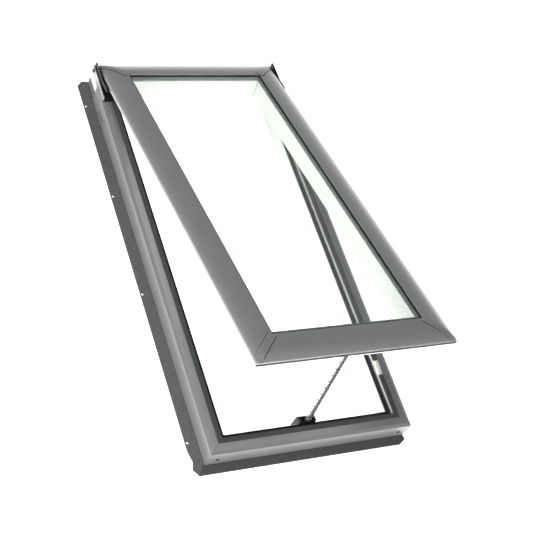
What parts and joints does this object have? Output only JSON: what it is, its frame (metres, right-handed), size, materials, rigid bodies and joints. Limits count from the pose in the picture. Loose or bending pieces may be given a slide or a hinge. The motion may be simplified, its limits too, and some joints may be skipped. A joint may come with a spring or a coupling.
{
  "type": "roof skylight",
  "caption": "Top-hung roof skylight with its frame: a double-glazed sash in grey cladding, held open on a steel push chain over a white timber frame.",
  "frame": {"origin": "middle of the opened skylight's outline, in the plane of the roof deck", "axes": "+X across the roof, +Y up the roof towards the hinges, +Z out of the roof"},
  "size_m": [0.619, 1.206, 0.385],
  "materials": {
    "white_timber": "white paint, satin",
    "frame_aluminium": "grey lacquer",
    "sash_aluminium": "grey lacquer",
    "flange_steel": "dark grey paint",
    "zinc_steel": "galvanised",
    "chain_steel": "zinc plated",
    "black_steel": "black passivated",
    "black_rubber": "matt",
    "white_plastic": "moulded",
    "dark_plastic": "moulded",
    "clear_glass": "clear float glass with a green edge"
  },
  "bodies": {
    "frame": {"frame_bottom_rail": "white_timber", "frame_top_rail": "white_timber", "frame_left_stile": "white_timber", "frame_right_stile": "white_timber", "frame_cover_bottom": "frame_aluminium", "frame_cover_top": "frame_aluminium", "frame_cover_left": "frame_aluminium", "frame_cover_right": "frame_aluminium", "flange_left": "flange_steel", "flange_right": "flange_steel", "flange_bottom": "flange_steel", "frame_gasket": "black_rubber", "ledge_seal": "black_rubber", "ledge_seal_upper_right": "black_rubber", "hinge_pad_left": "black_rubber", "hinge_pad_right": "black_rubber", "accessory_clip": "white_plastic", "hinge_plate_left": "zinc_steel", "hinge_plate_right": "zinc_steel", "hinge_pin_left": "black_steel", "hinge_pin_right": "black_steel", "cover_screw_left": "black_steel", "cover_screw_right": "black_steel", "hinge_screw_left_1": "zinc_steel", "hinge_screw_left_2": "zinc_steel", "hinge_screw_right_1": "zinc_steel", "hinge_screw_right_2": "zinc_steel", "operator_block": "dark_plastic", "chain_exit_bracket": "black_steel", "drive_motor": "zinc_steel", "chain_magazine": "dark_plastic", "operator_cover_left": "white_plastic", "operator_cover_right": "white_plastic"},
    "sash": {"sash_bottom_rail": "white_timber", "sash_top_rail": "white_timber", "sash_left_stile": "white_timber", "sash_right_stile": "white_timber", "cladding_bottom": "sash_aluminium", "cladding_top": "sash_aluminium", "cladding_left": "sash_aluminium", "cladding_right": "sash_aluminium", "corner_strip_bottom_left": "sash_aluminium", "corner_strip_bottom_right": "sash_aluminium", "corner_strip_top_left": "sash_aluminium", "corner_strip_top_right": "sash_aluminium", "inner_pane": "clear_glass", "glass_spacer": "zinc_steel", "outer_pane": "clear_glass", "glazing_gasket": "black_rubber", "sash_seal": "black_rubber", "weather_strip": "black_rubber", "hinge_arm_left": "black_steel", "hinge_arm_right": "black_steel", "chain_bracket": "black_steel"},
    "chain": {"push_chain": "chain_steel"},
    "chain_end": {"chain_end_link": "chain_steel", "chain_end_pin": "chain_steel"},
    "sprocket": {"drive_sprocket": "zinc_steel", "sprocket_shaft": "zinc_steel"}
  },
  "joints": [
    {"name": "sash_hinge", "type": "hinge", "parent": "frame", "child": "sash", "pos_m": [0, 0.58515, 0.0607], "axis": [-1, 0, 0], "range_deg": [-15.4, 0]},
    {"name": "chain_swing", "type": "hinge", "parent": "frame", "child": "chain", "pos_m": [0, -0.52125, 0.043], "axis": [-1, 0, 0], "range_deg": [-7.1, 0]},
    {"name": "chain_extend", "type": "slide", "parent": "chain", "child": "chain_end", "axis": [0, 0.1225, 0.9925], "range_m": [-0.2965, 0], "deforming": ["push_chain"]},
    {"name": "sprocket_turn", "type": "hinge", "parent": "frame", "child": "sprocket", "pos_m": [0, -0.53205, 0.021], "axis": [1, 0, 0], "range_deg": [-1682, 0]}
  ],
  "couplings": [
    {"joint": "chain_swing", "follows": "sash_hinge", "ratio": 0.45691},
    {"joint": "chain_extend", "follows": "sash_hinge", "m_per_rad": 1.1029},
    {"joint": "sprocket_turn", "follows": "sash_hinge", "ratio": 109.12}
  ]
}
